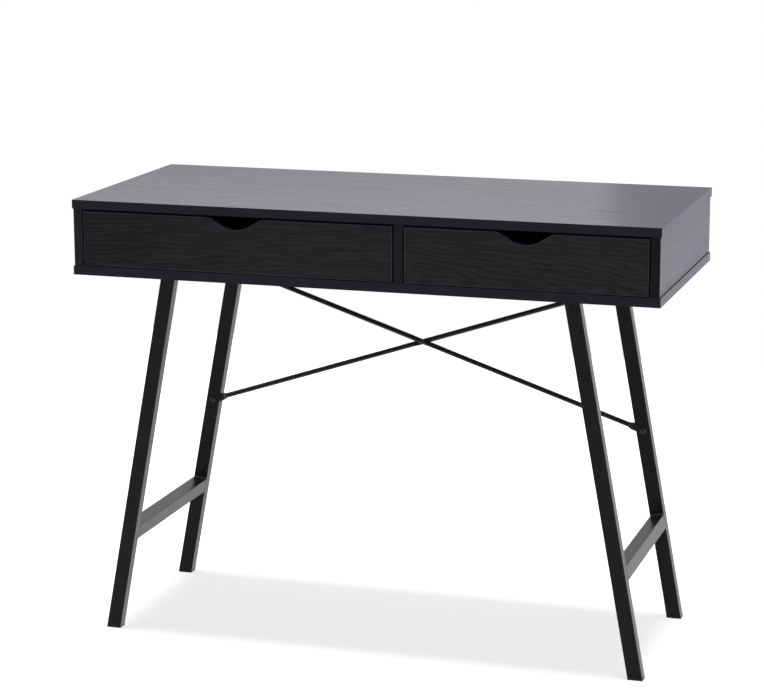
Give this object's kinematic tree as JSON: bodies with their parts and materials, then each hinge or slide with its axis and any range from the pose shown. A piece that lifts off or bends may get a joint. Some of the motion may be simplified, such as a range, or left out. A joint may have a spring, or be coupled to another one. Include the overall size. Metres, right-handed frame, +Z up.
{
  "type": "writing desk",
  "caption": "Black writing desk with drawers under the top, finger scoops in their fronts, splayed steel tube legs and a crossed rod brace.",
  "frame": {"origin": "on the floor, under the middle of the desk top", "axes": "+Z up, +X to the right, the drawers open towards -Y"},
  "size_m": [1, 0.44, 0.76],
  "materials": {
    "black_laminate": "satin black wood-grain laminate on particle board",
    "drawer_board": "matt dark grey laminate on particle board",
    "drawer_bottom_board": "matt dark hardboard",
    "black_steel": "satin black powder coat",
    "runner_steel": "semi-gloss dark epoxy coat",
    "black_plastic": "matt moulded",
    "nylon": "smooth moulded nylon",
    "zinc_fitting": "bright zinc plate",
    "black_fastener": "black zinc plate",
    "beech_dowel": "raw fluted beech"
  },
  "bodies": {
    "desk": {"desk_top": "black_laminate", "base_panel": "black_laminate", "left_side_panel": "black_laminate", "right_side_panel": "black_laminate", "centre_divider": "black_laminate", "back_panel": "black_laminate", "panel_dowels": "beech_dowel", "cam_locks": "zinc_fitting", "cam_bolts": "zinc_fitting", "base_screws": "black_fastener", "left_front_leg": "black_steel", "left_back_leg": "black_steel", "left_crossbar": "black_steel", "left_mounting_rail": "black_steel", "right_front_leg": "black_steel", "right_back_leg": "black_steel", "right_crossbar": "black_steel", "right_mounting_rail": "black_steel", "left_front_foot": "black_plastic", "left_back_foot": "black_plastic", "right_front_foot": "black_plastic", "right_back_foot": "black_plastic", "leg_screws": "black_fastener", "brace_rod_front": "black_steel", "brace_rod_rear": "black_steel", "brace_centre_bolt": "black_fastener", "brace_screws": "black_fastener", "left_bay_left_runner": "runner_steel", "left_bay_right_runner": "runner_steel", "right_bay_left_runner": "runner_steel", "right_bay_right_runner": "runner_steel", "cabinet_runner_screws": "zinc_fitting"},
    "left_drawer": {"left_drawer_front": "black_laminate", "left_drawer_left_side": "drawer_board", "left_drawer_right_side": "drawer_board", "left_drawer_back": "drawer_board", "left_drawer_bottom": "drawer_bottom_board", "left_drawer_left_runner": "runner_steel", "left_drawer_right_runner": "runner_steel", "left_drawer_cam_locks": "zinc_fitting", "left_drawer_cam_bolts": "zinc_fitting", "left_drawer_dowels": "beech_dowel", "left_drawer_back_screws": "black_fastener", "left_drawer_runner_screws": "zinc_fitting"},
    "left_drawer_rollers": {"left_drawer_rollers": "nylon"},
    "left_bay_rollers": {"left_bay_rollers": "nylon"},
    "right_drawer": {"right_drawer_front": "black_laminate", "right_drawer_left_side": "drawer_board", "right_drawer_right_side": "drawer_board", "right_drawer_back": "drawer_board", "right_drawer_bottom": "drawer_bottom_board", "right_drawer_left_runner": "runner_steel", "right_drawer_right_runner": "runner_steel", "right_drawer_cam_locks": "zinc_fitting", "right_drawer_cam_bolts": "zinc_fitting", "right_drawer_dowels": "beech_dowel", "right_drawer_back_screws": "black_fastener", "right_drawer_runner_screws": "zinc_fitting"},
    "right_drawer_rollers": {"right_drawer_rollers": "nylon"},
    "right_bay_rollers": {"right_bay_rollers": "nylon"}
  },
  "joints": [
    {"name": "left_drawer_slide", "type": "slide", "parent": "desk", "child": "left_drawer", "axis": [0, -1, 0], "range_m": [0, 0.26]},
    {"name": "right_drawer_slide", "type": "slide", "parent": "desk", "child": "right_drawer", "axis": [0, -1, 0], "range_m": [0, 0.26]},
    {"name": "left_bay_roller_spin", "type": "hinge", "parent": "desk", "child": "left_bay_rollers", "pos_m": [-0.21025, -0.1885, 0.6702], "axis": [1, 0, 0], "range_deg": [0, 1600]},
    {"name": "left_drawer_roller_spin", "type": "hinge", "parent": "left_drawer", "child": "left_drawer_rollers", "pos_m": [-0.21025, 0.1335, 0.667], "axis": [1, 0, 0], "range_deg": [0, 1600]},
    {"name": "right_bay_roller_spin", "type": "hinge", "parent": "desk", "child": "right_bay_rollers", "pos_m": [0.28025, -0.1885, 0.6702], "axis": [1, 0, 0], "range_deg": [0, 1600]},
    {"name": "right_drawer_roller_spin", "type": "hinge", "parent": "right_drawer", "child": "right_drawer_rollers", "pos_m": [0.28025, 0.1335, 0.667], "axis": [1, 0, 0], "range_deg": [0, 1600]}
  ],
  "couplings": [
    {"joint": "left_bay_roller_spin", "follows": "left_drawer_slide", "rad_per_m": 105.26},
    {"joint": "left_drawer_roller_spin", "follows": "left_drawer_slide", "rad_per_m": 105.26},
    {"joint": "right_bay_roller_spin", "follows": "right_drawer_slide", "rad_per_m": 105.26},
    {"joint": "right_drawer_roller_spin", "follows": "right_drawer_slide", "rad_per_m": 105.26}
  ]
}
